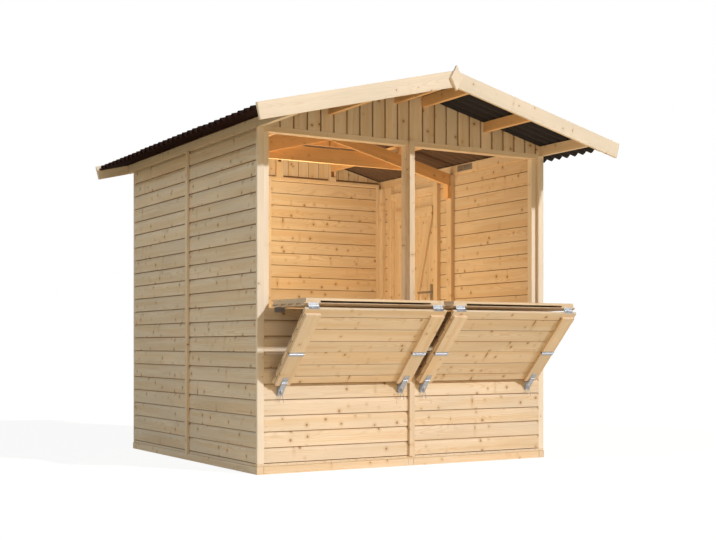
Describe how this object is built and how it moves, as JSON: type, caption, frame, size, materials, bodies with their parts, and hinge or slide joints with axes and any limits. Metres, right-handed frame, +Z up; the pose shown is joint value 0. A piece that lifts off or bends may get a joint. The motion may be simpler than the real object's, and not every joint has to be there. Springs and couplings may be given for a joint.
{
  "type": "wooden market stall",
  "caption": "Boarded wooden market stall with a side door, folding counters below its serving openings, and a gabled roof of corrugated sheet.",
  "frame": {"origin": "on the ground under the outer face and middle of the front wall's boards", "axes": "+X along the front, towards the side with the door; +Y from the front wall to the rear; +Z up"},
  "size_m": [2.452, 2.576, 2.268],
  "materials": {
    "timber": "planed, untreated",
    "roof_sheet": "matte corrugated bitumen sheet",
    "zinc": "zinc plated",
    "handle_steel": "satin"
  },
  "bodies": {
    "stall": {"base_end_strips": "timber", "base_side_strips": "timber", "front_wall_boards": "timber", "rear_wall_boards": "timber", "left_wall_boards": "timber", "right_wall_front_boards": "timber", "right_wall_middle_boards": "timber", "right_wall_over_door_boards": "timber", "right_wall_rear_boards": "timber", "corner_boards": "timber", "cover_battens": "timber", "front_posts": "timber", "front_sill_rails": "timber", "right_wall_studs": "timber", "left_wall_studs": "timber", "rear_wall_studs": "timber", "top_plates": "timber", "eave_purlins": "timber", "middle_purlins": "timber", "ridge_purlins": "timber", "front_gable_boards": "timber", "rear_gable_boards": "timber", "gable_uprights": "timber", "truss_rafters": "timber", "truss_cleats": "timber", "collar_tie": "timber", "front_bargeboards": "timber", "rear_bargeboards": "timber", "finials": "timber", "door_frame": "timber", "roof_sheet_right": "roof_sheet", "roof_sheet_left": "roof_sheet", "ridge_cap": "roof_sheet", "splice_plates": "zinc", "door_hinge_plates": "zinc", "sill_hinge_plates": "zinc", "hasp_pegs": "zinc"},
    "door": {"door_boards": "timber", "door_ledges": "timber", "door_brace": "timber", "door_hinge_straps": "zinc", "door_handle": "handle_steel"},
    "left_shelf": {"left_shelf_boards": "timber", "left_shelf_top": "timber", "left_shelf_hinges": "zinc"},
    "left_brace": {"left_brace_boards": "timber", "left_brace_battens": "timber", "left_brace_hinges": "zinc"},
    "left_hasp_pair": {"left_hasps": "zinc"},
    "right_shelf": {"right_shelf_boards": "timber", "right_shelf_top": "timber", "right_shelf_hinges": "zinc"},
    "right_brace": {"right_brace_boards": "timber", "right_brace_battens": "timber", "right_brace_hinges": "zinc"},
    "right_hasp_pair": {"right_hasps": "zinc"}
  },
  "joints": [
    {"name": "door_swing", "type": "hinge", "parent": "stall", "child": "door", "pos_m": [1.0105, 1.73, 1], "axis": [0, 0, 1], "range_deg": [0, 110]},
    {"name": "left_shelf_fold", "type": "hinge", "parent": "stall", "child": "left_shelf", "pos_m": [-0.473, -0.005, 0.918], "axis": [-1, 0, 0], "range_deg": [0, 90]},
    {"name": "left_brace_fold", "type": "hinge", "parent": "left_shelf", "child": "left_brace", "pos_m": [-0.473, -0.395, 0.915], "axis": [-1, 0, 0], "range_deg": [0, 133.52]},
    {"name": "left_hasp_turn", "type": "hinge", "parent": "left_brace", "child": "left_hasp_pair", "pos_m": [-0.473, -0.058, 0.50136], "axis": [-1, 0, 0], "range_deg": [0, 88]},
    {"name": "right_shelf_fold", "type": "hinge", "parent": "stall", "child": "right_shelf", "pos_m": [0.473, -0.005, 0.918], "axis": [-1, 0, 0], "range_deg": [0, 90]},
    {"name": "right_brace_fold", "type": "hinge", "parent": "right_shelf", "child": "right_brace", "pos_m": [0.473, -0.395, 0.915], "axis": [-1, 0, 0], "range_deg": [0, 133.52]},
    {"name": "right_hasp_turn", "type": "hinge", "parent": "right_brace", "child": "right_hasp_pair", "pos_m": [0.473, -0.058, 0.50136], "axis": [-1, 0, 0], "range_deg": [0, 88]}
  ],
  "couplings": [
    {"joint": "left_brace_fold", "follows": "left_shelf_fold", "ratio": 1.4835},
    {"joint": "left_hasp_turn", "follows": "left_shelf_fold", "ratio": 0.97777},
    {"joint": "right_brace_fold", "follows": "right_shelf_fold", "ratio": 1.4835},
    {"joint": "right_hasp_turn", "follows": "right_shelf_fold", "ratio": 0.97777}
  ]
}
